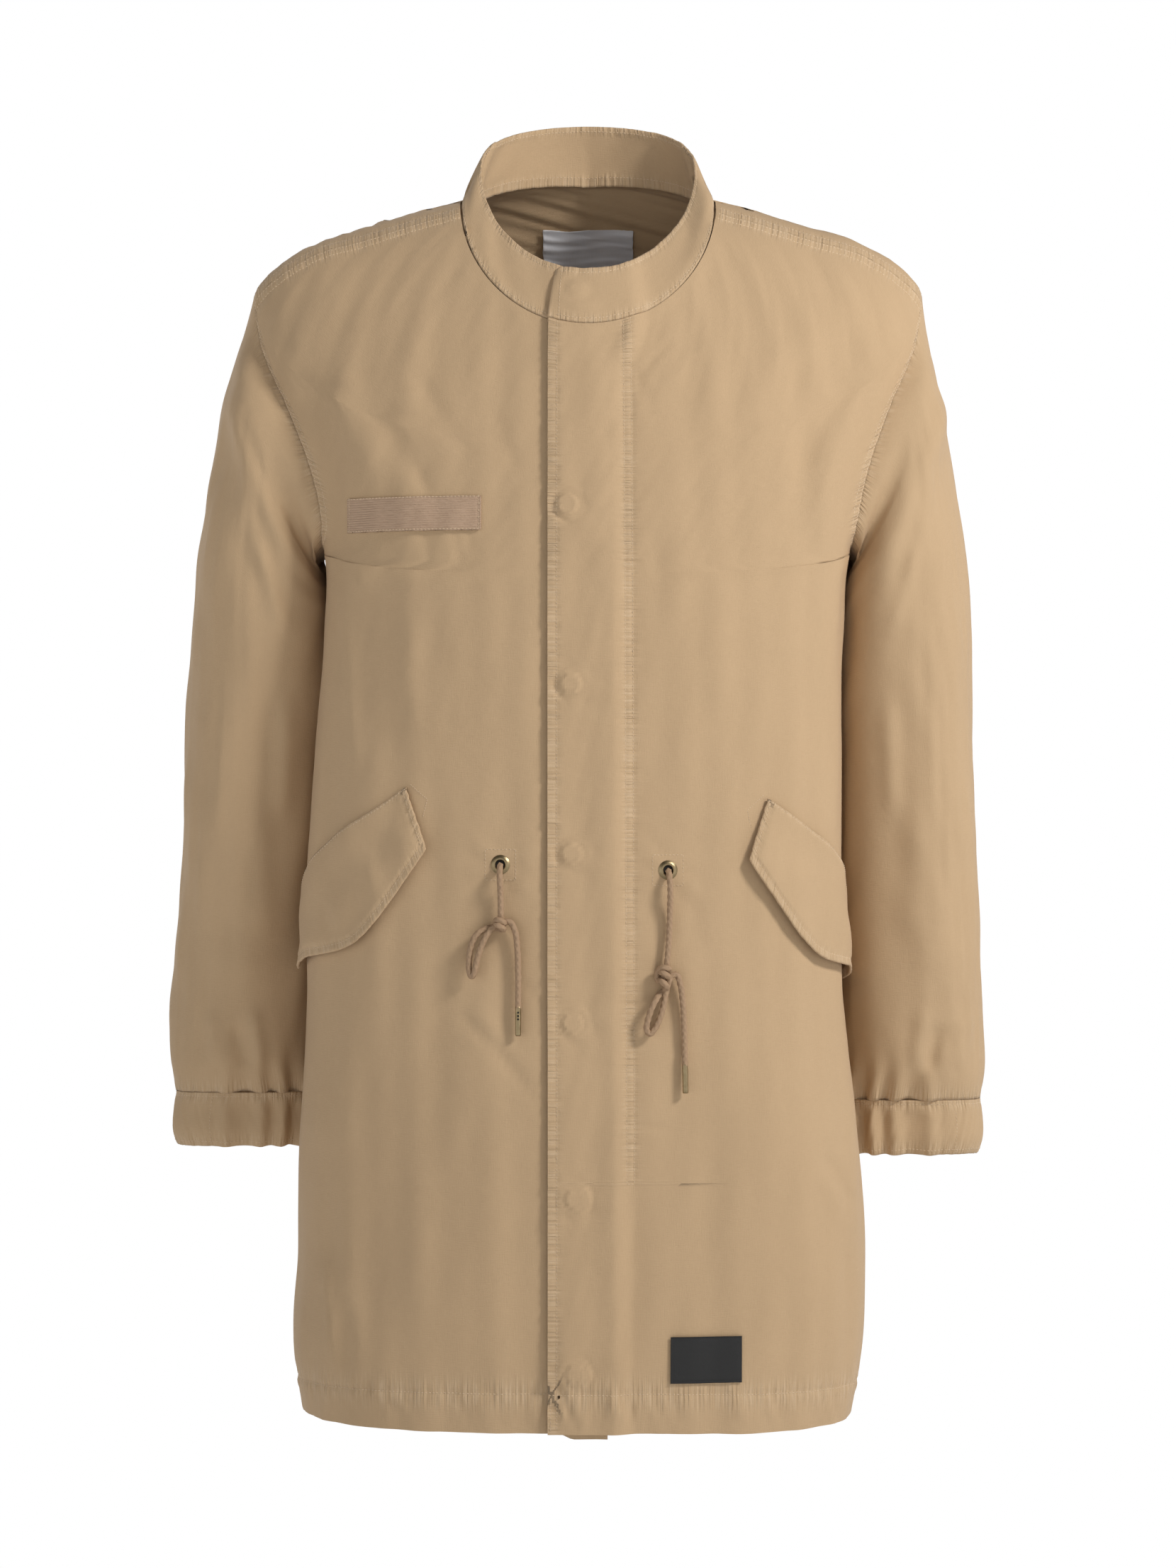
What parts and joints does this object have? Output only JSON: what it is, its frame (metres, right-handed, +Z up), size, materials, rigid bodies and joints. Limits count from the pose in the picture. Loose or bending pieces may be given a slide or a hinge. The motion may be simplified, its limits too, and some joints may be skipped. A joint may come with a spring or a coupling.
{
  "type": "parka",
  "caption": "Thigh-length khaki cotton parka with stand collar, fly front over hidden snaps, slanted pocket flaps, waist drawcord and elastic cuffs.",
  "frame": {"origin": "between the two points where the shoulder seams meet the collar, where the coat is carried on the shoulders", "axes": "+Z up, the front faces -Y, +X towards the wearer's left"},
  "size_m": [0.6118, 0.2996, 0.976],
  "materials": {
    "cloth": "matte",
    "webbing": "matte",
    "leather": "satin",
    "label": "satin",
    "metal": "satin",
    "cord": "matte"
  },
  "bodies": {
    "root": {"back": "cloth", "collar": "cloth", "cord_drop_left": "cord", "cord_drop_right": "cord", "cord_knot_left": "cord", "cord_knot_right": "cord", "cord_loop_left": "cord", "cord_loop_right": "cord", "cord_tail_left": "cord", "cord_tail_right": "cord", "cord_tip_left": "metal", "cord_tip_right": "metal", "cuff_left": "cloth", "cuff_right": "cloth", "eyelet_left": "metal", "eyelet_right": "metal", "front_left": "cloth", "front_right": "cloth", "hem_label": "leather", "name_tape": "webbing", "neck_label": "label", "pocket_flap_left": "cloth", "pocket_flap_right": "cloth", "sleeve_left": "cloth", "sleeve_right": "cloth", "snap_1": "metal", "snap_2": "metal", "snap_3": "metal", "snap_4": "metal", "snap_5": "metal", "snap_6": "metal", "snap_7": "metal"}
  },
  "joints": []
}
